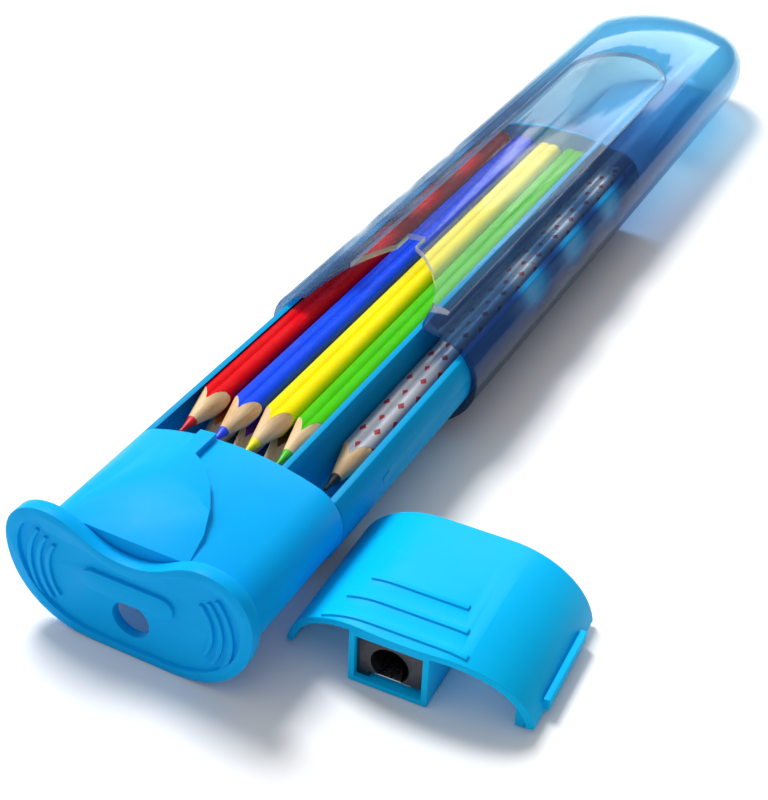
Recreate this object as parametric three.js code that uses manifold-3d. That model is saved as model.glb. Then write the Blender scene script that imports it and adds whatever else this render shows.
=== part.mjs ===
// Slide-out pencil case with a sharpener in the drawer's head, in millimetres, +Z up.
// The origin is on the flat underside of the sleeve. -Y is the way the drawer pulls out.
import * as THREE from 'three';
import { mergeVertices } from 'three/addons/utils/BufferGeometryUtils.js';
import Module from 'manifold-3d';

const wasm = await Module();
wasm.setup();

// ---- driving dimensions ----
const ORIGIN_Y = 222;        // from the head's front face back to the origin

// cross-section of the sleeve, outside; every other section is this one moved inwards
const CASE_HALF = 28.4;      // half width
const CASE_TOP = 31;         // height of the crown above the table
const CASE_LOW_W = 20.5;     // lower corners: width and height of the quarter ellipse
const CASE_LOW_H = 16.5;
const CASE_UP_R = 11.4;      // upper corner radius
const CASE_CROWN_R = 66;     // crown radius
const SLEEVE_WALL = 1.6;
const SLIDE_GAP = 0.3;       // drawer to sleeve
const DRAWER_IN = SLEEVE_WALL + SLIDE_GAP;

const SLEEVE_FRONT = 101.5;    // all Y values below are counted back from the head's front face
const SLEEVE_BACK = 340;
const END_DEPTH = 34;        // length of the sleeve's rounded end
const END_POWER = 2.7;       // 2 is an ellipse, more is squarer
const END_POWER_IN = 2.95;   // the hollow's end is squarer, so the tray's corners clear it
const END_HEIGHT = 0.35;     // how much of the height is left at the very end

const NOTCH_HALF = 15.5;     // thumb notch in the sleeve's top front edge
const NOTCH_MID = -3;        // middle of the notch and of the tongue
const NOTCH_TIP = -6.5;      // their tip leans to one side
const NOTCH_DEPTH = 31.5;
const TIP_SLOT = { half: 2.4, depth: 36 };  // narrow slot on from the notch's tip

const WINDOW_HALF = 16.2;    // clear panel in the sleeve's top
const WINDOW_BACK = 283;
const WINDOW_GAP = 0.3;
const WINDOW_FRONT = 9;      // from the sleeve's front edge back to the panel

const PLATE_T = 3;           // end plate
const PLATE_MID = -1.2;      // it sits a little to the left of the tray
const PLATE_HALF = 29.4;
const PLATE_HUMP_X = 18.5;
const PLATE_HUMP_Z = 30.4;
const PLATE_DIP_Z = 24.6;
const FACE_RIM = 2.8;
const FACE_DEPTH = 0.9;
const PENCIL_HOLE_R = 4.5;
const HOLE_Z = 9.2;
const PLAQUE = { w: 22, h: 5.2, z: 16.6 };
const CRESCENTS = { cx: 8.5, z: 15, radii: [11.6, 13.9, 16.2], width: 1.0, spread: 0.62 };

const HEAD_BACK = 38.8;      // back of the head's rear wall
const HEAD_WALL = 1.6;
const PARTING_Z = 14;        // the head's side walls stop here; the hatch closes the rest
const TONGUE_RISE = 1.9;     // the tongue is flush with the sleeve outside
const TONGUE_LENGTH = 28;
const TONGUE_LOW_Z = 28;     // flat front edge of the tongue; its top slopes up from here
const TONGUE_SLOPE = 0.19;
const TIP_RIB = { half: 2, rise: 1.5 }; // short rib from the tongue's tip to the head's rear edge

const TRAY_BACK = 224.2;
const TRAY_CORNER = 4;
const TRAY_TAPER = 0.9;
const TRAY_WALL = 1.1;
const TRAY_RIM_Z = 23;
const FLOOR_Z = 7.8;
const SIDE_FLOOR_Z = 13.3;   // raised floor of the side compartment
const DIVIDER_X = 11.9;
const DIVIDER_T = 1.4;
const DIVIDER_Z = 27.4;

const HATCH_X = 51.1;        // middle of the hatch where it lies
const HATCH_HALF = 27.6;
const HATCH_FRONT = 15.8;
const HATCH_BACK = 55;
const HATCH_BOW = 4.6;       // its front edge bows out
const HATCH_H = 15.4;        // table to crown, as it lies
const HATCH_EDGE = 1;        // its side walls stop this far above the table
const HATCH_WALL = 1.5;
const HATCH_TURN = 2;        // degrees; it lies a little askew
const HOLDER_X = 48.3;       // middle of the sharpener holder
const HOLDER = { w: 17.4, wall: 1.3, front: 16.8, length: 25, h: 13.8 };
const RIBS = { y: 18.2, pitch: 6.3, half: 15.7, step: 2.5, wide: 1.5, rise: 0.5 };

const BLOCK = { w: 14.2, h: 9.7, length: 24, waist: 9.6, shoulder: 8 };
const BLADE = { w: 8.4, length: 22.6, t: 0.5 };

const PENCIL_R = 4;          // from the axis to a corner of the three-sided casing, one flat up
const PENCIL_L = 175;
const PENCIL_BACK = 222.4;
const WOOD_L = 9.6;          // casing's end to the lead
const LEAD_L = 4;
const LEAD_R = 1.45;
const ROW_PITCH = 8.3;
const UPPER_ROW = { x: -20, z: 19.62 };
const LOWER_ROW = { x: -18.2, z: 12.1 };
const GRAPHITE = { x: 17, z: 17.6 };
const TIP_STEP = [0, 0.3, 0.1, 0.25];  // how far each pencil sits back

const STEPS = 5;             // fineness of the section's arcs

// ---- helpers ----
const group = new THREE.Group();
const toSolid = (geometry) => {
  const g = geometry.clone();
  g.deleteAttribute('normal');
  g.deleteAttribute('uv');
  const m = mergeVertices(g, 1e-5);
  return new wasm.Manifold(new wasm.Mesh({
    numProp: 3,
    vertProperties: new Float32Array(m.attributes.position.array),
    triVerts: new Uint32Array(m.index.array),
  }));
};
const toGeometry = (solid) => {
  const mesh = solid.getMesh();
  const g = new THREE.BufferGeometry();
  g.setAttribute('position', new THREE.BufferAttribute(new Float32Array(mesh.vertProperties), 3));
  g.setIndex(new THREE.BufferAttribute(new Uint32Array(mesh.triVerts), 1));
  g.computeVertexNormals();
  return g;
};
const add = (name, solid, color, roughness, metalness = 0, extra = {}) => {
  const material = new THREE.MeshStandardMaterial({ color, roughness, metalness, ...extra });
  const mesh = new THREE.Mesh(toGeometry(solid), material);
  mesh.name = name;
  mesh.position.y = -ORIGIN_Y;
  group.add(mesh);
};
// the corners of an outline, without the doubled ones where two curves meet
const corners = (shape, segments) => shape.extractPoints(segments).shape.filter(
  (p, i, all) => p.distanceTo(all[(i + all.length - 1) % all.length]) > 1e-3,
);
const extrude = (shape, depth, segments) => new THREE.ExtrudeGeometry(
  new THREE.Shape(corners(shape, segments)), { depth, bevelEnabled: false },
);
// a shape drawn in X and Z, made solid from y0 back to y1
const alongY = (shape, y0, y1, segments = STEPS) => {
  const g = extrude(shape, y1 - y0, segments);
  g.rotateX(Math.PI / 2);
  g.translate(0, y1, 0);
  return toSolid(g);
};
// a shape drawn in X and Y, made solid from z0 up to z1
const alongZ = (shape, z0, z1, segments = STEPS) => {
  const g = extrude(shape, z1 - z0, segments);
  g.translate(0, 0, z0);
  return toSolid(g);
};
const box = (x0, x1, y0, y1, z0, z1) => {
  const g = new THREE.BoxGeometry(x1 - x0, y1 - y0, z1 - z0);
  g.translate((x0 + x1) / 2, (y0 + y1) / 2, (z0 + z1) / 2);
  return toSolid(g);
};
const rodY = (x, z, r0, r1, y0, y1, segments = 24) => {
  const g = new THREE.CylinderGeometry(r1, r0, y1 - y0, segments);
  g.translate(x, (y0 + y1) / 2, z);
  return toSolid(g);
};
const pill = (cx, cy, w, h) => {
  const r = h / 2;
  const shape = new THREE.Shape();
  shape.absarc(cx - w / 2 + r, cy, r, Math.PI / 2, 1.5 * Math.PI);
  shape.absarc(cx + w / 2 - r, cy, r, -Math.PI / 2, Math.PI / 2);
  shape.closePath();
  return shape;
};

// the case's cross-section moved inwards by d: flat underside, round lower corners, upright
// sides, smaller upper corners and a wide crown
function section(d) {
  const half = CASE_HALF - d;
  const top = CASE_TOP - d;
  const lowW = CASE_LOW_W - d;
  const lowH = CASE_LOW_H - d;
  const up = CASE_UP_R - d;
  const crown = CASE_CROWN_R - d;
  const crownZ = top - crown;
  const upX = half - up;
  const upZ = crownZ + Math.sqrt((crown - up) ** 2 - upX ** 2);
  const a = Math.atan2(upZ - crownZ, upX);
  const s = new THREE.Shape();
  s.moveTo(-(half - lowW), d);
  s.lineTo(half - lowW, d);
  s.absellipse(half - lowW, CASE_LOW_H, lowW, lowH, -Math.PI / 2, 0);
  s.absarc(upX, upZ, up, 0, a);
  s.absarc(0, crownZ, crown, a, Math.PI - a);
  s.absarc(-upX, upZ, up, Math.PI - a, Math.PI);
  s.absellipse(-(half - lowW), CASE_LOW_H, lowW, lowH, Math.PI, 1.5 * Math.PI);
  s.closePath();
  return s;
}

// a long body of that section whose rear end is rounded in plan and in height
function roundedBody(d, y0, y1, depth, power, rings = 8) {
  const points = corners(section(d), STEPS);
  const n = points.length;
  const position = [];
  const index = [];
  const slices = [[y0, 1, 1]];
  for (let k = 0; k <= rings; k++) {
    const t = Math.sin((k / rings) * (Math.PI / 2) * 0.97);
    const sx = (1 - t ** power) ** (1 / power);
    slices.push([y1 - depth + depth * t, sx, 1 - (1 - END_HEIGHT) * (1 - sx)]);
  }
  for (const [y, sx, sz] of slices) {
    const lift = (1 - sz) ** 2 * CASE_TOP * 0.45;
    for (const p of points) position.push(p.x * sx, y, d + (p.y - d) * sz + lift);
  }
  const ring = (k, i) => k * n + (i % n);
  for (let k = 0; k + 1 < slices.length; k++) {
    for (let i = 0; i < n; i++) {
      index.push(ring(k, i), ring(k, i + 1), ring(k + 1, i));
      index.push(ring(k, i + 1), ring(k + 1, i + 1), ring(k + 1, i));
    }
  }
  const last = slices.length - 1;
  for (let i = 1; i + 1 < n; i++) { // the outline is convex, so each end is a fan
    index.push(ring(0, 0), ring(0, i + 1), ring(0, i));
    index.push(ring(last, 0), ring(last, i), ring(last, i + 1));
  }
  const g = new THREE.BufferGeometry();
  g.setAttribute('position', new THREE.Float32BufferAttribute(position, 3));
  g.setIndex(index);
  let signed = 0;
  const v = (i) => new THREE.Vector3().fromArray(position, 3 * i);
  for (let t = 0; t < index.length; t += 3) {
    signed += v(index[t]).dot(v(index[t + 1]).cross(v(index[t + 2])));
  }
  if (signed < 0) g.setIndex(index.map((_, i) => index[i - (i % 3) + [0, 2, 1][i % 3]]));
  return toSolid(g);
}

// the pointed outline shared by the thumb notch and the tongue, from y0 back to y1
function shield(y0, y1, half, grow = 0) {
  const left = NOTCH_MID - half;
  const right = NOTCH_MID + half;
  const tip = NOTCH_TIP;
  const l = y1 - y0;
  const s = new THREE.Shape();
  s.moveTo(left, y0 - grow);
  s.lineTo(right, y0 - grow);
  s.lineTo(right, y0);
  s.bezierCurveTo(right - 0.5, y0 + 0.45 * l, tip + 9, y0 + 0.86 * l, tip + 1.6, y1 - 0.5);
  s.quadraticCurveTo(tip, y1 + 0.4, tip - 1.6, y1 - 0.9);
  s.bezierCurveTo(tip - 6, y0 + 0.8 * l, left + 0.2, y0 + 0.5 * l, left, y0);
  s.closePath();
  return s;
}

// ---- sleeve: tube with a rounded closed end, thumb notch and panel opening ----
function panelOutline(gap, y0) {
  const half = WINDOW_HALF - gap;
  const back = WINDOW_BACK - gap - half;
  const s = new THREE.Shape();
  s.moveTo(-half, y0);
  s.lineTo(half, y0);
  s.lineTo(half, back);
  s.absarc(0, back, half, 0, Math.PI);
  s.closePath();
  return s;
}
const panelFront = SLEEVE_FRONT + WINDOW_FRONT;
const notch = alongZ(shield(SLEEVE_FRONT, SLEEVE_FRONT + NOTCH_DEPTH, NOTCH_HALF + 0.6, 1), 22, 40)
  .add(box(NOTCH_TIP - TIP_SLOT.half, NOTCH_TIP + TIP_SLOT.half, SLEEVE_FRONT,
    SLEEVE_FRONT + TIP_SLOT.depth, 22, 40));
const sleeve = roundedBody(0, SLEEVE_FRONT, SLEEVE_BACK, END_DEPTH, END_POWER)
  .subtract(roundedBody(SLEEVE_WALL, SLEEVE_FRONT - 1, SLEEVE_BACK - SLEEVE_WALL,
    END_DEPTH - SLEEVE_WALL, END_POWER_IN))
  .subtract(notch)
  .subtract(alongZ(panelOutline(0, panelFront), 24, 40, 20));
add('sleeve_shell', sleeve, 0x1c8fd6, 0.12, 0, { transparent: true, opacity: 0.55 });

// ---- clear panel, flush with the sleeve's crown ----
const panel = alongZ(panelOutline(WINDOW_GAP, panelFront + WINDOW_GAP), 24, 40, 20)
  .intersect(alongY(section(0), SLEEVE_FRONT, WINDOW_BACK + 1)
    .subtract(alongY(section(SLEEVE_WALL), SLEEVE_FRONT - 1, WINDOW_BACK + 2)))
  .subtract(notch);
add('window_panel', panel, 0xe8f2f8, 0.05, 0, { transparent: true, opacity: 0.25 });

// ---- tray: tub with a divider, a raised side floor and an arched rear wall ----
const trayFront = HEAD_BACK + 0.3;
const inner = DRAWER_IN + TRAY_WALL;
const wallBack = TRAY_BACK - 1.2;
const plan = new THREE.Shape();
plan.moveTo(-40, 0);
plan.lineTo(40, 0);
plan.lineTo(CASE_HALF - DRAWER_IN, 60);
plan.absarc(CASE_HALF - DRAWER_IN - TRAY_CORNER, TRAY_BACK - TRAY_CORNER, TRAY_CORNER, 0, Math.PI / 2);
plan.absarc(TRAY_CORNER + DRAWER_IN - CASE_HALF, TRAY_BACK - TRAY_CORNER, TRAY_CORNER, Math.PI / 2, Math.PI);
plan.lineTo(DRAWER_IN - CASE_HALF, 60);
plan.closePath();
const tub = alongY(section(DRAWER_IN), trayFront, TRAY_BACK - 12)
  .add(alongY(section(DRAWER_IN + TRAY_TAPER), TRAY_BACK - 13, TRAY_BACK))
  .intersect(alongZ(plan, -1, 40));
const hollow = alongY(section(inner), trayFront - 1, wallBack);
const divider = box(DIVIDER_X - DIVIDER_T / 2, DIVIDER_X + DIVIDER_T / 2, 0, 240, 0, DIVIDER_Z);
const floorBlock = box(-30, 30, 0, 240, 0, FLOOR_Z)
  .add(box(DIVIDER_X, 30, 0, 240, 0, SIDE_FLOOR_Z));
const rimCut = box(-40, DIVIDER_X - DIVIDER_T / 2, 0, wallBack, TRAY_RIM_Z, 40)
  .add(box(DIVIDER_X + DIVIDER_T / 2, 40, 0, wallBack, TRAY_RIM_Z, 40))
  .add(box(-40, 40, wallBack - 0.1, 240, TRAY_RIM_Z - 4, 40)
    .subtract(alongY(section(inner + 0.4), wallBack - 1, 241)))
  .add(box(-40, 40, 0, 240, DIVIDER_Z, 40));
const tray = tub
  .subtract(hollow.subtract(divider).subtract(floorBlock))
  .subtract(rimCut)
  .subtract(box(-7.5, 7.5, trayFront - 1, TRAY_BACK - 4, 0, FLOOR_Z - 1.2))
  .add(box(CASE_HALF - inner, CASE_HALF - DRAWER_IN + 0.1, 57, 60, 16.6, 18.4));
add('tray', tray, 0x14a4ea, 0.32);

// ---- head: hollow shell open below, rear wall, thumb tongue and its scoop ----
const headFront = PLATE_T + 0.3;
const slopeLength = HEAD_BACK - headFront;
const side = new THREE.Shape(); // seen along X, with Y drawn to the right
side.moveTo(headFront - 1, TONGUE_LOW_Z - TONGUE_SLOPE);
side.lineTo(HEAD_BACK, TONGUE_LOW_Z + TONGUE_SLOPE * slopeLength);
side.lineTo(HEAD_BACK, 45);
side.lineTo(headFront - 1, 45);
side.closePath();
const slopeGeometry = extrude(side, 50);
slopeGeometry.rotateX(Math.PI / 2);
slopeGeometry.rotateZ(Math.PI / 2);
slopeGeometry.translate(-25, 0, 0);
const slope = toSolid(slopeGeometry); // everything above the tongue's sloping top
const pad = shield(headFront, headFront + TONGUE_LENGTH, NOTCH_HALF - 0.6, 2);
const tongue = alongZ(pad, 24, 40)
  .intersect(alongY(section(DRAWER_IN - TONGUE_RISE), headFront, HEAD_BACK))
  .add(box(NOTCH_TIP - TIP_RIB.half, NOTCH_TIP + TIP_RIB.half, headFront + TONGUE_LENGTH - 3,
    HEAD_BACK, 26, 40)
    .intersect(alongY(section(DRAWER_IN - TIP_RIB.rise), headFront, HEAD_BACK)));
const headInner = DRAWER_IN + HEAD_WALL;
const head = alongY(section(DRAWER_IN), headFront, HEAD_BACK)
  .add(tongue)
  .subtract(alongY(section(headInner), headFront - 1, 16).intersect(box(-40, 40, 0, 20, 0, 21.8)))
  .subtract(alongY(section(headInner), 15.9, HEAD_BACK - 1.6))
  .subtract(box(-40, 40, 0, HEAD_BACK - 1.6, 0, PARTING_Z))
  .subtract(slope.intersect(alongZ(pad, 20, 50)));
add('head_housing', head, 0x18aff2, 0.32);

// ---- front plate: kidney outline, recessed face, plaque, crescents, pencil hole ----
function kidney(half, flat, base, humpX, humpZ, dipZ) {
  const s = new THREE.Shape();
  const midZ = base + 0.63 * (humpZ - base);
  const dipX = humpX * 0.5;
  s.moveTo(-flat, base);
  s.lineTo(flat, base);
  s.bezierCurveTo(flat + 12, base + 0.3, half, base + 8.5, half, midZ);
  s.bezierCurveTo(half, humpZ - 4.4, humpX + 6.5, humpZ, humpX, humpZ);
  s.bezierCurveTo(humpX - 7, humpZ, dipX, dipZ, 0, dipZ);
  s.bezierCurveTo(-dipX, dipZ, -humpX + 7, humpZ, -humpX, humpZ);
  s.bezierCurveTo(-humpX - 6.5, humpZ, -half, humpZ - 4.4, -half, midZ);
  s.bezierCurveTo(-half, base + 8.5, -flat - 12, base + 0.3, -flat, base);
  return new THREE.Shape(s.extractPoints(12).shape.map((p) => p.setX(p.x + PLATE_MID)));
}
const crescent = (side, radius) => {
  const s = new THREE.Shape();
  const { cx, z, width, spread } = CRESCENTS;
  const mid = side > 0 ? 0 : Math.PI;
  s.absarc(PLATE_MID + side * cx, z, radius, mid - spread, mid + spread);
  s.absarc(PLATE_MID + side * (cx - width), z, radius, mid + spread * 0.98, mid - spread * 0.98, true);
  s.closePath();
  return s;
};
let plate = alongY(kidney(PLATE_HALF, 10, 0, PLATE_HUMP_X, PLATE_HUMP_Z, PLATE_DIP_Z), 0, PLATE_T, 12)
  .subtract(alongY(kidney(PLATE_HALF - FACE_RIM, 8.5, 1.9, PLATE_HUMP_X - 0.8,
    PLATE_HUMP_Z - FACE_RIM, PLATE_DIP_Z - FACE_RIM), -1, FACE_DEPTH, 12))
  .add(alongY(pill(PLATE_MID, PLAQUE.z, PLAQUE.w, PLAQUE.h), 0.1, FACE_DEPTH + 0.2));
for (const side of [-1, 1]) {
  for (const radius of CRESCENTS.radii) {
    plate = plate.add(alongY(crescent(side, radius), 0.3, FACE_DEPTH + 0.2));
  }
}
plate = plate.subtract(rodY(PLATE_MID, HOLE_Z, PENCIL_HOLE_R, PENCIL_HOLE_R, -2, PLATE_T + 2, 32));
add('front_plate', plate, 0x18aff2, 0.3);

// ---- hatch: the head's underside, lying crown up, with the sharpener's holder ----
// its crown is the lower half of the case's section turned over
function hatchOutline(d) {
  const half = HATCH_HALF - d;
  const w = CASE_LOW_W - CASE_HALF + HATCH_HALF - d;
  const h = CASE_LOW_H - d;
  const low = HATCH_H - CASE_LOW_H;
  const s = new THREE.Shape();
  s.moveTo(HATCH_X - half, low - 4);
  s.lineTo(HATCH_X + half, low - 4);
  s.absellipse(HATCH_X + half - w, low, w, h, 0, Math.PI / 2);
  s.absellipse(HATCH_X - half + w, low, w, h, Math.PI / 2, Math.PI);
  s.closePath();
  return s;
}
// turns a solid with the hatch about its middle
const askew = (solid) => {
  const my = (HATCH_FRONT + HATCH_BACK) / 2;
  return solid.translate(-HATCH_X, -my, 0).rotate(0, 0, HATCH_TURN).translate(HATCH_X, my, 0);
};
const front = new THREE.Shape();
front.moveTo(HATCH_X - 40, HATCH_BACK);
front.lineTo(HATCH_X - 40, HATCH_FRONT + HATCH_BOW);
front.lineTo(HATCH_X - HATCH_HALF, HATCH_FRONT + HATCH_BOW);
front.quadraticCurveTo(HATCH_X, HATCH_FRONT - HATCH_BOW, HATCH_X + HATCH_HALF, HATCH_FRONT + HATCH_BOW);
front.lineTo(HATCH_X + 40, HATCH_FRONT + HATCH_BOW);
front.lineTo(HATCH_X + 40, HATCH_BACK);
front.closePath();
const hx0 = HOLDER_X - HOLDER.w / 2;
const hx1 = HOLDER_X + HOLDER.w / 2;
const holderBack = HOLDER.front + HOLDER.length;
const sideX = HATCH_X + HATCH_HALF;
const holder = box(hx0, hx1, HOLDER.front, holderBack, 0, HATCH_H - 0.7)
  .subtract(box(hx0 + HOLDER.wall, hx1 - HOLDER.wall, HOLDER.front - 1, holderBack + 1,
    HOLDER.wall, HOLDER.h - HATCH_WALL));
let hatch = alongY(hatchOutline(0), HATCH_FRONT - 1, HATCH_BACK, 9)
  .subtract(alongY(hatchOutline(HATCH_WALL), HATCH_FRONT - 2, HATCH_BACK + 1, 9))
  .subtract(box(HATCH_X - 40, HATCH_X + 40, 0, 80, -20, HATCH_EDGE))
  .intersect(alongZ(front, -5, 30, 16))
  .add(holder)
  .add(box(sideX - 4.4, sideX - 2.4, HATCH_FRONT + HATCH_BOW + 0.4, HATCH_FRONT + HATCH_BOW + 1.8, 0, 8)
    .intersect(alongY(hatchOutline(HATCH_WALL / 2), 0, 80, 9)))
  .add(box(sideX - 0.7, sideX + 0.7, 26, 48, 1.4, 4.2));
for (let i = 0; i < 3; i++) {
  const y = RIBS.y + i * RIBS.pitch;
  const half = RIBS.half - i * RIBS.step;
  const reach = HATCH_H + RIBS.rise;
  hatch = hatch.add(box(HOLDER_X - half, HOLDER_X + half, y, y + RIBS.wide, HATCH_H - 4, reach)
    .intersect(alongY(hatchOutline(-RIBS.rise), 0, 80, 9))
    .subtract(alongY(hatchOutline(0.4), -1, 81, 9)));
}
add('hatch_cover', askew(hatch), 0x10b8f8, 0.32);

// ---- wedge sharpener in the holder ----
const blockFloor = HOLDER.wall + 0.35;
const blockTop = blockFloor + BLOCK.h;
const blockFront = HOLDER.front + 1;
const blockBack = blockFront + BLOCK.length;
const wedge = new THREE.Shape();
wedge.moveTo(HOLDER_X - BLOCK.w / 2, blockFront);
wedge.lineTo(HOLDER_X + BLOCK.w / 2, blockFront);
wedge.lineTo(HOLDER_X + BLOCK.w / 2, blockFront + BLOCK.shoulder);
wedge.quadraticCurveTo(HOLDER_X + BLOCK.waist / 2, blockFront + BLOCK.shoulder + 2,
  HOLDER_X + BLOCK.waist / 2, blockBack - 2);
wedge.lineTo(HOLDER_X + BLOCK.waist / 2, blockBack);
wedge.lineTo(HOLDER_X - BLOCK.waist / 2, blockBack);
wedge.lineTo(HOLDER_X - BLOCK.waist / 2, blockBack - 2);
wedge.quadraticCurveTo(HOLDER_X - BLOCK.waist / 2, blockFront + BLOCK.shoulder + 2,
  HOLDER_X - BLOCK.w / 2, blockFront + BLOCK.shoulder);
wedge.closePath();
const axisZ = HOLDER.h - (HOLE_Z - DRAWER_IN);
const bladeTop = blockFloor + 1.5;
const block = alongZ(wedge, blockFloor, blockTop)
  .subtract(rodY(HOLDER_X, axisZ, 4.2, 1.1, blockFront - 0.01, blockBack - 2.5, 28))
  .subtract(rodY(HOLDER_X, axisZ, 1.1, 1.1, blockBack - 2.6, blockBack + 1, 28))
  .subtract(box(HOLDER_X - BLADE.w / 2 - 0.2, HOLDER_X + 8, blockFront - 1, blockBack + 1,
    blockFloor - 1, bladeTop));
add('sharpener_block', askew(block), 0x8f9296, 0.35, 0.9);

const bladeMid = HOLDER_X + 0.4;
const blade = box(bladeMid - BLADE.w / 2 + 0.3, bladeMid + BLADE.w / 2, blockFront + 0.4,
  blockFront + 0.4 + BLADE.length, bladeTop - 0.3 - BLADE.t, bladeTop - 0.3);
add('sharpener_blade', askew(blade), 0xc9ccd0, 0.22, 1);

const screwY = blockFront + 0.62 * BLOCK.length;
const screwTop = bladeTop - 0.3 - BLADE.t - 0.3;
const screwGeometry = new THREE.CylinderGeometry(2, 2, screwTop - blockFloor, 24);
screwGeometry.rotateX(Math.PI / 2);
screwGeometry.translate(bladeMid, screwY, (screwTop + blockFloor) / 2);
add('blade_screw', askew(toSolid(screwGeometry)), 0xb5a06a, 0.3, 1);

// ---- pencils: rounded three-sided casing, wood cone and lead ----
function casing(x, z, r) {
  const s = new THREE.Shape();
  const corner = r * 0.61;
  const reach = r - corner;
  for (let i = 0; i < 3; i++) {
    const a = (i * 2 * Math.PI) / 3 - Math.PI / 2;
    s.absarc(x + reach * Math.cos(a), z + reach * Math.sin(a), corner, a - Math.PI / 3, a + Math.PI / 3);
  }
  s.closePath();
  return s;
}
function pencil(name, x, z, setBack, color, leadColor, roughness) {
  const back = PENCIL_BACK + setBack;
  const front = back - PENCIL_L;
  const woodBack = front + LEAD_L + WOOD_L;
  const rWood = PENCIL_R * 0.8;
  add(`${name}_casing`, alongY(casing(x, z, PENCIL_R), woodBack, back, 6), color, roughness);
  add(`${name}_wood`, rodY(x, z, LEAD_R, rWood, front + LEAD_L, woodBack - 0.3), 0xe6bd80, 0.7);
  add(`${name}_lead`, rodY(x, z, 0.25, LEAD_R - 0.1, front, front + LEAD_L - 0.3, 16), leadColor, 0.5);
}
const COLOURS = [
  ['red', 0xe0101a], ['blue', 0x1650e6], ['yellow', 0xffe600], ['green', 0x46c41a],
];
const UNDER = [
  ['orange', 0xf07a10], ['violet', 0x6a2fb0], ['brown', 0x7a4520], ['black', 0x202020],
];
COLOURS.forEach(([name, color], i) => {
  pencil(`pencil_${name}`, UPPER_ROW.x + i * ROW_PITCH, UPPER_ROW.z, TIP_STEP[i] - 0.1, color, color, 0.3);
});
UNDER.forEach(([name, color], i) => {
  pencil(`pencil_${name}`, LOWER_ROW.x + i * ROW_PITCH, LOWER_ROW.z, TIP_STEP[3 - i], color, color, 0.3);
});
pencil('pencil_graphite', GRAPHITE.x, GRAPHITE.z, 0.3, 0xb9bec8, 0x2a2a2c, 0.35);

export default group;
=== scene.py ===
import math

import bmesh
import bpy
import numpy as np
from mathutils import Matrix, Vector


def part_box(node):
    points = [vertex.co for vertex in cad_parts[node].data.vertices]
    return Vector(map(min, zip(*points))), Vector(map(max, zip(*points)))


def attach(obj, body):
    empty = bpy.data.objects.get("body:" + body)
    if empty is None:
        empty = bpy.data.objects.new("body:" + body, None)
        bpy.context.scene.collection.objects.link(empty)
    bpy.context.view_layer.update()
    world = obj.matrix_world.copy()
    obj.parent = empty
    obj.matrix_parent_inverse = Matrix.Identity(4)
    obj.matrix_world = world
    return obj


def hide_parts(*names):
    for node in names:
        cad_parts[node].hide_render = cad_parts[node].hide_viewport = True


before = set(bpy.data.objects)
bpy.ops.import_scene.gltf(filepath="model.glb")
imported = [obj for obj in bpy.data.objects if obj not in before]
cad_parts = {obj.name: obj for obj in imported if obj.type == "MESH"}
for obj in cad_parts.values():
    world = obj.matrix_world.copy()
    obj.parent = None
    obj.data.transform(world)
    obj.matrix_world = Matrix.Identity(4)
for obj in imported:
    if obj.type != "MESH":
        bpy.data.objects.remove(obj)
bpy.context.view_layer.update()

MM = 0.001
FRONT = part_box("front_plate")[0].y  # the head's front face; places below count back from it


def at(x, y, z):
    return Vector((x * MM, FRONT + y * MM, z * MM))


# ---- camera: at the photograph's angle ----
camera_data = bpy.data.cameras.new("camera")
camera_data.sensor_width = 36
camera_data.lens = 68.48
camera_data.clip_start = 0.01
camera = bpy.data.objects.new("camera", camera_data)
bpy.context.scene.collection.objects.link(camera)
camera.matrix_world = Matrix.Translation(at(141.38, -177.34, 223.78)) @ Matrix((
    (0.88486, -0.29414, 0.36126),
    (0.46452, 0.49828, -0.73207),
    (0.03532, 0.81559, 0.57755),
)).to_4x4()
bpy.context.scene.camera = camera


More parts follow.
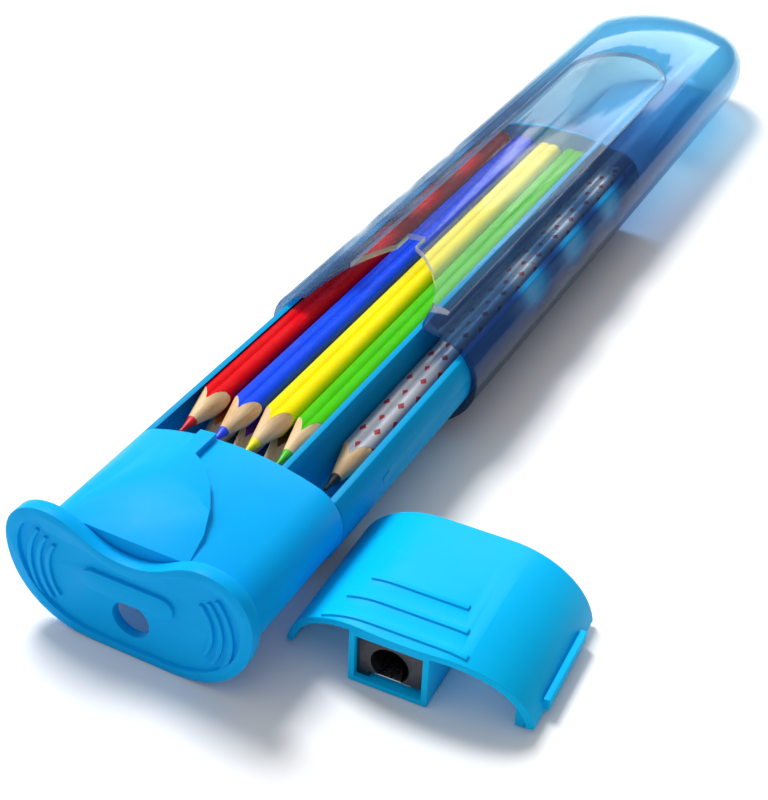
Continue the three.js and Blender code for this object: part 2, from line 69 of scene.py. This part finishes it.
# ---- materials ----
class Nodes:
    """A material's node tree, with short ways to add and join nodes."""

    def __init__(self, name):
        self.material = bpy.data.materials.new(name)
        self.material.use_nodes = True
        self.tree = self.material.node_tree
        self.tree.nodes.clear()
        self.out = self.add("ShaderNodeOutputMaterial")
        self.where = self.add("ShaderNodeTexCoord").outputs["Object"]

    def add(self, kind, **settings):
        node = self.tree.nodes.new(kind)
        for key, value in settings.items():
            if key.startswith("_"):
                node.inputs[key[1:].replace("_", " ")].default_value = value
            else:
                setattr(node, key, value)
        return node

    def join(self, a, b):
        self.tree.links.new(a, b)

    def math(self, operation, a, b=None):
        node = self.add("ShaderNodeMath", operation=operation)
        for socket, value in zip(node.inputs, (a, b)):
            if value is None:
                continue
            if isinstance(value, (int, float)):
                socket.default_value = value
            else:
                self.join(value, socket)
        return node.outputs[0]

    def stretched(self, scale):
        mapping = self.add("ShaderNodeMapping")
        mapping.inputs["Scale"].default_value = scale
        self.join(self.where, mapping.inputs["Vector"])
        return mapping.outputs["Vector"]

    def noise(self, scale, detail=3.0, roughness=0.5, vector=None):
        node = self.add("ShaderNodeTexNoise", _Scale=scale, _Detail=detail, _Roughness=roughness)
        self.join(vector or self.where, node.inputs["Vector"])
        return node.outputs["Fac"]

    def spread(self, value, low, high, to_low, to_high):
        node = self.add("ShaderNodeMapRange")
        self.join(value, node.inputs["Value"])
        for key, number in (
                ("From Min", low), ("From Max", high), ("To Min", to_low), ("To Max", to_high)):
            node.inputs[key].default_value = number
        return node.outputs["Result"]

    def mix(self, fac, a, b):
        node = self.add("ShaderNodeMix", data_type="RGBA", blend_type="MIX")
        for socket, value in ((node.inputs["Factor"], fac), (node.inputs[6], a), (node.inputs[7], b)):
            if hasattr(value, "is_linked"):
                self.join(value, socket)
            else:
                socket.default_value = value
        return node.outputs[2]

    def bump(self, height, strength, distance=0.0002, normal=None):
        node = self.add("ShaderNodeBump", _Strength=strength, _Distance=distance)
        self.join(height, node.inputs["Height"])
        if normal:
            self.join(normal, node.inputs["Normal"])
        return node.outputs["Normal"]

    def principled(self, **sockets):
        node = self.add("ShaderNodeBsdfPrincipled")
        for key, value in sockets.items():
            socket = node.inputs[key.replace("_", " ")]
            if hasattr(value, "is_linked"):
                self.join(value, socket)
            else:
                socket.default_value = value
        return node

    def finish(self, shader):
        self.join(shader.outputs[0], self.out.inputs["Surface"])
        return self.material


def rgba(r, g, b):
    return (r, g, b, 1.0)


def darker(colour, k):
    return (colour[0] * k, colour[1] * k, colour[2] * k, 1.0)


def moulded(name, colour, roughness=0.38):
    """Satin injection-moulded plastic: fine tooling grain, uneven gloss, faint rub marks."""
    n = Nodes(name)
    cloud = n.spread(n.noise(38, 4), 0.3, 0.7, 0.0, 1.0)
    base = n.mix(cloud, darker(colour, 0.95), colour)
    rubs = n.noise(300, 4, 0.6, n.stretched((0.35, 1.0, 1.0)))
    base = n.mix(n.spread(rubs, 0.6, 0.78, 0.0, 0.3), base, darker(colour, 1.12))
    rough = n.spread(n.noise(95, 5), 0.3, 0.7, roughness - 0.05, roughness + 0.1)
    grain = n.bump(n.noise(2600, 2), 0.10, 0.00008)
    normal = n.bump(rubs, 0.05, 0.0001, grain)
    return n.finish(n.principled(
        Base_Color=base, Roughness=rough, Normal=normal, Specular_IOR_Level=0.04,
        Subsurface_Weight=0.05, Subsurface_Radius=(0.002, 0.003, 0.005), Subsurface_Scale=1.0))


GLOSS_FALLOFF = 5.0        # how quickly a clear wall's gloss fades away from its edges
SLEEVE_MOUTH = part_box("sleeve_shell")[0].y
REAR_PAINTED_LIGHT = (SLEEVE_MOUTH + 0.131, SLEEVE_MOUTH + 0.196)  # painted light: the sleeve grades from deep blue to a lighter cyan at its empty closed end
PATCH_Y = [SLEEVE_MOUTH + 0.0415 + 0.027 * i for i in range(3)]  # clear patches along the shoulders
PATCH_Z = 0.023
PATCH_HALF = (0.0105, 0.0076)  # half length and half height
PATCH_TINT = (0.93, 0.96, 0.98, 1.0)
PATCH_EDGE = (0.5, 1.1)        # where a patch starts to fade and where it ends


def clear_patches(n, y, z):
    """1 in the middle of each soft-edged clear patch on the sleeve's shoulders, 0 outside them."""
    clear = None
    for middle in PATCH_Y:
        dy = n.math("DIVIDE", n.math("SUBTRACT", y, middle), PATCH_HALF[0])
        dz = n.math("DIVIDE", n.math("SUBTRACT", z, PATCH_Z), PATCH_HALF[1])
        away = n.math("SQRT", n.math("ADD", n.math("MULTIPLY", dy, dy), n.math("MULTIPLY", dz, dz)))
        patch = n.spread(away, PATCH_EDGE[0], PATCH_EDGE[1], 1.0, 0.0)
        clear = patch if clear is None else n.math("MAXIMUM", clear, patch)
    return clear


def see_through(name, tint, body, face, edge, roughness=0.06, blend=0.35, gloss=0.8, rear=None):
    """Clear plastic: what lies behind is tinted, and the skin has its own gloss and colour.

    rear is the tint and body colour that the plastic grades to at the sleeve's closed end; the lighter
    rear is painted light.
    """
    n = Nodes(name)
    clear = n.add("ShaderNodeBsdfTransparent")
    if rear:
        parts = n.add("ShaderNodeSeparateXYZ")
        n.join(n.where, parts.inputs[0])
        # painted light: the tint and skin colour lighten along the sleeve towards its empty closed end
        back = n.spread(parts.outputs[1], REAR_PAINTED_LIGHT[0], REAR_PAINTED_LIGHT[1], 0.0, 1.0)
        patch = clear_patches(n, parts.outputs[1], parts.outputs[2])
        n.join(n.mix(patch, n.mix(back, tint, rear[0]), PATCH_TINT), clear.inputs["Color"])
        lighter, dimmer = n.mix(back, body, rear[1]), n.mix(back, darker(body, 0.88), rear[1])
    else:
        clear.inputs["Color"].default_value = tint
        lighter, dimmer = body, darker(body, 0.88)
    scratches = n.noise(700, 3, vector=n.stretched((1.0, 0.05, 1.0)))
    rough = n.spread(scratches, 0.4, 0.7, roughness, roughness + 0.08)
    flow = n.bump(n.noise(35, 2), 0.06, 0.0006)
    colour = n.mix(n.spread(n.noise(45, 3), 0.35, 0.65, 0.0, 1.0), dimmer, lighter)
    skin = n.principled(Base_Color=colour, Roughness=rough, Normal=flow, Specular_IOR_Level=0.5)
    fac = n.spread(n.add("ShaderNodeLayerWeight", _Blend=blend).outputs["Facing"], 0.0, 1.0, face, edge)
    if rear:
        fac = n.math("MULTIPLY", fac, n.spread(patch, 0.0, 1.0, 1.0, 0.15))
    mixed = n.add("ShaderNodeMixShader")
    n.join(fac, mixed.inputs[0])
    n.join(clear.outputs[0], mixed.inputs[1])
    n.join(skin.outputs[0], mixed.inputs[2])
    facing = n.add("ShaderNodeLayerWeight", _Blend=0.5).outputs["Facing"]
    gleam = n.spread(n.math("POWER", facing, GLOSS_FALLOFF), 0.0, 1.0, 0.03, gloss)
    shine = n.add("ShaderNodeBsdfGlossy")
    n.join(rough, shine.inputs["Roughness"])
    n.join(flow, shine.inputs["Normal"])
    top = n.add("ShaderNodeMixShader")
    n.join(gleam, top.inputs[0])
    n.join(mixed.outputs[0], top.inputs[1])
    n.join(shine.outputs[0], top.inputs[2])
    return n.finish(top)


def lacquer(name, colour, roughness=0.28):
    """Pencil paint: thick coats with faint brush-on rings and rub marks."""
    n = Nodes(name)
    base = n.mix(n.spread(n.noise(120, 3), 0.3, 0.7, 0.0, 1.0), darker(colour, 0.9), colour)
    rub = n.spread(n.noise(600, 2, vector=n.stretched((1.0, 0.2, 1.0))), 0.6, 0.75, 0.0, 0.08)
    base = n.mix(rub, base, rgba(*(min(1, c + 0.2) for c in colour[:3])))
    coat = n.noise(500, 2, vector=n.stretched((1.0, 0.08, 1.0)))
    rough = n.spread(n.noise(220, 4), 0.3, 0.7, roughness - 0.06, roughness + 0.08)
    return n.finish(n.principled(
        Base_Color=base, Roughness=rough, Normal=n.bump(coat, 0.08, 0.0001), Specular_IOR_Level=0.1))


def cut_wood(name):
    """Sharpened cedar: grain along the pencil and fine ridges left by the blade."""
    n = Nodes(name)
    grain = n.noise(420, 6, 0.65, n.stretched((1.0, 0.09, 1.0)))
    streak = n.noise(160, 4, 0.6, n.stretched((1.0, 0.2, 1.0)))
    base = n.mix(n.spread(grain, 0.35, 0.68, 0.0, 1.0), rgba(0.86, 0.60, 0.33), rgba(0.64, 0.37, 0.16))
    base = n.mix(n.spread(streak, 0.5, 0.75, 0.0, 0.5), base, rgba(0.92, 0.72, 0.46))
    ridges = n.add("ShaderNodeTexWave", wave_type="BANDS", bands_direction="Y",
                   _Scale=1500, _Distortion=4.0)
    n.join(n.where, ridges.inputs["Vector"])
    normal = n.bump(grain, 0.35, 0.0002, n.bump(ridges.outputs["Fac"], 0.12, 0.00008))
    return n.finish(n.principled(
        Base_Color=base, Roughness=n.spread(grain, 0.3, 0.7, 0.6, 0.8), Normal=normal))


def pigment(name, colour, roughness=0.42):
    """Lead core: waxy, with crumbs and shallow scratches."""
    n = Nodes(name)
    base = n.mix(n.spread(n.noise(900, 4), 0.35, 0.7, 0.0, 1.0), colour, darker(colour, 0.72))
    rough = n.spread(n.noise(500, 3), 0.3, 0.7, roughness - 0.08, roughness + 0.12)
    return n.finish(n.principled(
        Base_Color=base, Roughness=rough, Normal=n.bump(n.noise(1400, 3), 0.3, 0.0001)))


def metal(name, colour, roughness, lines=(1.0, 1.0, 0.05)):
    """Machined metal: fine tool lines, uneven polish, dull smears."""
    n = Nodes(name)
    brushed = n.noise(1500, 3, vector=n.stretched(lines))
    base = n.mix(n.spread(n.noise(180, 4), 0.4, 0.7, 0.0, 1.0), colour, darker(colour, 0.78))
    rough = n.spread(brushed, 0.3, 0.7, roughness - 0.07, roughness + 0.12)
    return n.finish(n.principled(
        Base_Color=base, Roughness=rough, Metallic=1.0, Normal=n.bump(brushed, 0.12, 0.00006)))


DIAMONDS_ROUND = 6       # diamonds in each row round the pencil
DIAMOND_PITCH = 0.0058   # from row to row along it


def spotted(name, ground, mark, axis_x, axis_z):
    """Silver lacquer with rows of small dark diamonds that wrap round the pencil."""
    n = Nodes(name)
    parts = n.add("ShaderNodeSeparateXYZ")
    n.join(n.where, parts.inputs[0])
    dx = n.math("SUBTRACT", parts.outputs[0], axis_x)
    dz = n.math("SUBTRACT", parts.outputs[2], axis_z)
    turn = n.math("MULTIPLY", n.math("ARCTAN2", dz, dx), DIAMONDS_ROUND / (2 * math.pi))
    along = n.math("MULTIPLY", parts.outputs[1], 1 / DIAMOND_PITCH)
    row = n.math("MODULO", n.math("FLOOR", along), 2)
    across = n.math("ADD", turn, n.math("MULTIPLY", row, 0.5))
    u = n.math("ABSOLUTE", n.math("SUBTRACT", n.math("FRACT", across), 0.5))
    v = n.math("ABSOLUTE", n.math("SUBTRACT", n.math("FRACT", along), 0.5))
    diamond = n.math("ADD", n.math("MULTIPLY", u, 1.15), v)
    dot = n.spread(diamond, 0.23, 0.26, 1.0, 0.0)
    base = n.mix(n.spread(n.noise(160, 3), 0.3, 0.7, 0.0, 1.0), darker(ground, 0.86), ground)
    base = n.mix(dot, base, mark)
    rough = n.spread(n.noise(220, 4), 0.3, 0.7, 0.26, 0.4)
    return n.finish(n.principled(
        Base_Color=base, Roughness=rough,
        Metallic=n.math("MULTIPLY", n.math("SUBTRACT", 1.0, dot), 0.45),
        Normal=n.bump(dot, 0.35, 0.00015), Coat_Weight=0.3, Coat_Roughness=0.15))


def backdrop(name):
    n = Nodes(name)
    base = n.mix(n.spread(n.noise(3, 2), 0.3, 0.7, 0.0, 1.0), rgba(0.93, 0.93, 0.93),
                 rgba(0.95, 0.95, 0.95))
    return n.finish(n.principled(Base_Color=base, Roughness=0.85, Specular_IOR_Level=0.1))


body_blue = moulded("case_blue", rgba(0.002, 0.42, 0.93))
hatch_blue = moulded("hatch_blue", rgba(0.002, 0.52, 0.98), 0.34)
# painted shade: the tray's blue is darker than the case's, standing in for the shade inside the sleeve
tray_blue_painted_shade = moulded("tray_blue_painted_shade", rgba(0.002, 0.33, 0.66))
# the sleeve's material carries painted light, lighter towards its closed end
sleeve_clear_painted_light = see_through(
    "sleeve_clear_painted_light", rgba(0.40, 0.60, 0.80), rgba(0.002, 0.05, 0.14), 0.06, 0.6, 0.05, 0.3, 0.45,
    rear=(rgba(0.60, 0.86, 0.97), rgba(0.02, 0.42, 0.75)))
window_clear = see_through(
    "window_clear", rgba(0.95, 0.97, 0.98), rgba(0.10, 0.14, 0.18), 0.0, 0.08, gloss=0.4)
window_rim = see_through("window_rim", rgba(0.9, 0.94, 0.97), rgba(0.9, 0.92, 0.94), 0.35, 0.8)
wood = cut_wood("pencil_wood")

# ---- mesh helpers ----


def bake(obj):
    """Puts the modifiers' result into the mesh."""
    graph = bpy.context.evaluated_depsgraph_get()
    graph.update()
    mesh = bpy.data.meshes.new_from_object(obj.evaluated_get(graph))
    obj.modifiers.clear()
    old, obj.data = obj.data, mesh
    bpy.data.meshes.remove(old)
    return obj


def piece(name, mesh, body, nodes=(), materials=()):
    obj = bpy.data.objects.new(name, mesh)
    bpy.context.scene.collection.objects.link(obj)
    for m in materials:
        obj.data.materials.append(m)
    if body:
        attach(obj, body)
    if nodes:
        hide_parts(*nodes)
    return obj


def mesh_from(name, verts, faces):
    mesh = bpy.data.meshes.new(name)
    mesh.from_pydata([tuple(v) for v in verts], [], faces)
    mesh.update()
    return mesh


def soften(obj, sharp):
    """Smooth shading, with edges kept where faces meet at more than sharp degrees."""
    obj.data.shade_smooth()
    obj.data.set_sharp_from_angle(angle=math.radians(sharp))
    return obj


BEVEL_SEGMENTS = 2
BEVEL_FROM = 32     # degrees; edges sharper than this are rounded over
FLAT_WITHIN = 0.6   # degrees; neighbouring faces closer than this are joined


def refined(node, name, width):
    """The CAD node's own surface with its flats joined up and its edges rounded over."""
    bm = bmesh.new()
    bm.from_mesh(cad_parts[node].data)
    bmesh.ops.remove_doubles(bm, verts=bm.verts, dist=2e-6)
    bmesh.ops.dissolve_limit(bm, angle_limit=math.radians(FLAT_WITHIN), verts=bm.verts, edges=bm.edges)
    mesh = bpy.data.meshes.new(name)
    bm.to_mesh(mesh)
    bm.free()
    obj = bpy.data.objects.new(name + "_work", mesh)
    bpy.context.scene.collection.objects.link(obj)
    bevel = obj.modifiers.new("round", "BEVEL")
    bevel.width = width * MM
    bevel.segments = BEVEL_SEGMENTS
    bevel.limit_method = "ANGLE"
    bevel.angle_limit = math.radians(BEVEL_FROM)
    bake(obj)
    mesh = obj.data
    mesh.materials.clear()
    bpy.data.objects.remove(obj)
    return mesh


def shell_piece(node, body, material, width=0.3):
    name = node + "_look"
    return soften(piece(name, refined(node, name, width), body, [node], [material]), 50)


shell_piece("sleeve_shell", "case", sleeve_clear_painted_light, 0.35)
panel = shell_piece("window_panel", "case", window_clear, 0.3)
panel.data.materials.append(window_rim)
for face in panel.data.polygons:  # the sawn edge of the panel is brighter than its faces
    face.material_index = 1 if abs(face.normal.z) < 0.8 else 0
shell_piece("tray", "drawer", tray_blue_painted_shade, 0.3)
shell_piece("head_housing", "drawer", body_blue, 0.35)
shell_piece("front_plate", "drawer", body_blue, 0.45)
shell_piece("hatch_cover", "hatch", hatch_blue, 0.3)
block_metal = metal("block_metal", rgba(0.07, 0.07, 0.08), 0.3)
shell_piece("sharpener_block", "hatch", block_metal, 0.2)
blade_steel = metal("blade_steel", rgba(0.7, 0.71, 0.73), 0.2)
shell_piece("sharpener_blade", "hatch", blade_steel, 0.08)
shell_piece("blade_screw", "hatch", metal("screw", rgba(0.62, 0.5, 0.28), 0.3), 0.1)


# ---- pencils ----
CREST = 4.0    # from the axis to a corner of the casing; one flat faces up
CORNER = 2.44  # radius of its three rounded corners
FLAT = (CREST - CORNER) / 2 + CORNER  # from the axis up to the flat
SLOPE = 0.262  # how fast the cut cone widens
LEAD_END = 4.9  # from the point back to where the wood begins


def casing_radius(angle):
    """Distance from the axis to the rounded three-sided outline."""
    sector = 2 * math.pi / 3
    off = (angle + math.pi / 2 + sector / 2) % sector - sector / 2
    reach = CREST - CORNER
    corner = reach * math.cos(off) + math.sqrt(max(0.0, CORNER ** 2 - (reach * math.sin(off)) ** 2))
    flat = (reach * 0.5 + CORNER) / max(0.2, math.cos(sector / 2 - abs(off)))
    return min(corner, flat)


def lathe(rings, closed_front, closed_back):
    """Faces that join rings of points, each the same length."""
    n = len(rings[0])
    verts = [v for ring in rings for v in ring]
    faces = []
    for k in range(len(rings) - 1):
        for i in range(n):
            j = (i + 1) % n
            faces.append((k * n + i, (k + 1) * n + i, (k + 1) * n + j, k * n + j))
    if closed_front:
        faces.append(tuple(range(n)))
    if closed_back:
        faces.append(tuple(reversed(range((len(rings) - 1) * n, len(rings) * n))))
    return verts, faces


def make_pencil(colour_name, paint, lead_material, seed):
    base = "pencil_" + colour_name
    low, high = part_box(base + "_casing")
    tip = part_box(base + "_lead")[0].y
    ax, az, back = (low.x + high.x) / 2, high.z - FLAT * MM, high.y
    rng = np.random.default_rng(seed)
    n = 72
    angles = [2 * math.pi * i / n for i in range(n)]
    rho = [casing_radius(a) for a in angles]
    wobble = np.convolve(np.tile(rng.normal(0, 0.25, n), 3), np.ones(5) / 5, "same")[n:2 * n]
    rim = [tip + (r / SLOPE + w) * MM for r, w in zip(rho, wobble)]

    def ring(radii, ys):
        return [Vector((ax + r * MM * math.cos(a), y, az + r * MM * math.sin(a)))
                for a, r, y in zip(angles, radii, ys)]

    rings = [ring([r - inset for r in rho], [y + step * MM for y in rim])
             for inset, step in ((0.5, 0.2), (0.07, 0.0), (0.01, 0.1), (0.0, 0.4))]
    start = max(rim) + 0.003
    for k in range(13):
        rings.append(ring(rho, [start + (back - 0.0006 - start) * k / 12] * n))
    for inset, y in ((0.06, 0.35), (0.25, 0.15), (0.6, 0.02), (1.2, 0.0)):
        rings.append(ring([r - inset for r in rho], [back - y * MM] * n))
    verts, faces = lathe(rings, True, True)
    soften(piece(base + "_paint", mesh_from(base + "_paint", verts, faces), "drawer",
                 [base + "_casing"], [paint]), 55)

    rings = []
    for k in range(9):
        t = k / 8
        radii = [(1 - t) * LEAD_END * SLOPE + t * (r - 0.06) for r in rho]
        chips = rng.normal(0, 0.02, n) * (0.3 + t)
        ys = [tip + ((1 - t) * LEAD_END * MM) + t * (y - tip + 0.02 * MM) for y in rim]
        rings.append(ring([r + c for r, c in zip(radii, chips)], ys))
    rings.append(ring([r - 0.7 for r in rho], [y + 0.6 * MM for y in rim]))
    verts, faces = lathe(rings, True, True)
    soften(piece(base + "_cone", mesh_from(base + "_cone", verts, faces), "drawer",
                 [base + "_wood"], [wood]), 60)

    rings = []
    for y, r in ((0.0, 0.12), (0.06, 0.3), (0.35, 0.42), (1.4, 0.46), (3.0, 0.8),
                 (LEAD_END, 1.3), (LEAD_END + 0.6, 1.3)):
        radius = max(r, y * SLOPE) if y <= LEAD_END else 1.2
        rings.append(ring([radius + c for c in rng.normal(0, 0.012, n)], [tip + y * MM] * n))
    verts, faces = lathe(rings, True, True)
    soften(piece(base + "_core", mesh_from(base + "_core", verts, faces), "drawer",
                 [base + "_lead"], [lead_material]), 60)


PAINTS = {
    "red": rgba(0.72, 0.0, 0.005), "blue": rgba(0.006, 0.07, 0.86), "yellow": rgba(1.0, 0.8, 0.0),
    "green": rgba(0.06, 0.52, 0.0), "orange": rgba(0.86, 0.2, 0.02), "violet": rgba(0.18, 0.04, 0.42),
    "brown": rgba(0.2, 0.07, 0.03), "black": rgba(0.02, 0.02, 0.02),
}
for i, (colour_name, colour) in enumerate(PAINTS.items()):
    make_pencil(colour_name, lacquer("paint_" + colour_name, colour),
                pigment("lead_" + colour_name, colour), 11 + i)
low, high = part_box("pencil_graphite_casing")
make_pencil(
    "graphite",
    spotted("paint_graphite", rgba(0.50, 0.52, 0.58), rgba(0.30, 0.01, 0.02),
            (low.x + high.x) / 2, high.z - FLAT * MM),
    pigment("lead_graphite", rgba(0.03, 0.03, 0.033), 0.3), 31)

# ---- floor, light ----
FLOOR_HALF = 3
FLOOR_Z = -0.0002
corners = [(x * FLOOR_HALF, y * FLOOR_HALF, FLOOR_Z) for x, y in ((-1, -1), (1, -1), (1, 1), (-1, 1))]
floor_mesh = mesh_from("floor", corners, [(0, 1, 2, 3)])
floor = piece("floor", floor_mesh, None, materials=[backdrop("backdrop")])

BRIGHT_SIDE = (-0.5, -0.1, 0.75)  # the sky is brightest this way
SKY_STRENGTH = 0.62
world = bpy.data.worlds.new("studio")
bpy.context.scene.world = world
world.use_nodes = True
sky = world.node_tree
toward = sky.nodes.new("ShaderNodeTexCoord").outputs["Generated"]
slope = sky.nodes.new("ShaderNodeVectorMath")
slope.operation = "DOT_PRODUCT"
slope.inputs[1].default_value = BRIGHT_SIDE
sky.links.new(toward, slope.inputs[0])
shade = sky.nodes.new("ShaderNodeMapRange")
shade.inputs["From Min"].default_value = -0.35
shade.inputs["From Max"].default_value = 0.8
shade.inputs["To Min"].default_value = 0.16
shade.inputs["To Max"].default_value = 1.0
sky.links.new(slope.outputs["Value"], shade.inputs["Value"])
sky.links.new(shade.outputs["Result"], sky.nodes["Background"].inputs["Color"])
sky.nodes["Background"].inputs["Strength"].default_value = SKY_STRENGTH


def area_light(name, place, size, power):
    """A soft light, aimed at the middle of the object's floor."""
    data = bpy.data.lights.new(name, "AREA")
    data.shape = "RECTANGLE"
    data.size, data.size_y = size
    data.energy = power
    obj = bpy.data.objects.new(name, data)
    bpy.context.scene.collection.objects.link(obj)
    obj.location = place
    obj.rotation_euler = (-Vector(place)).to_track_quat("-Z", "Y").to_euler()


area_light("key", (-0.68, 0.22, 1.2), (0.45, 0.45), 19)
area_light("rim", (-0.3, 1.3, 0.7), (0.8, 0.4), 4)
bpy.context.scene.view_settings.view_transform = "Standard"
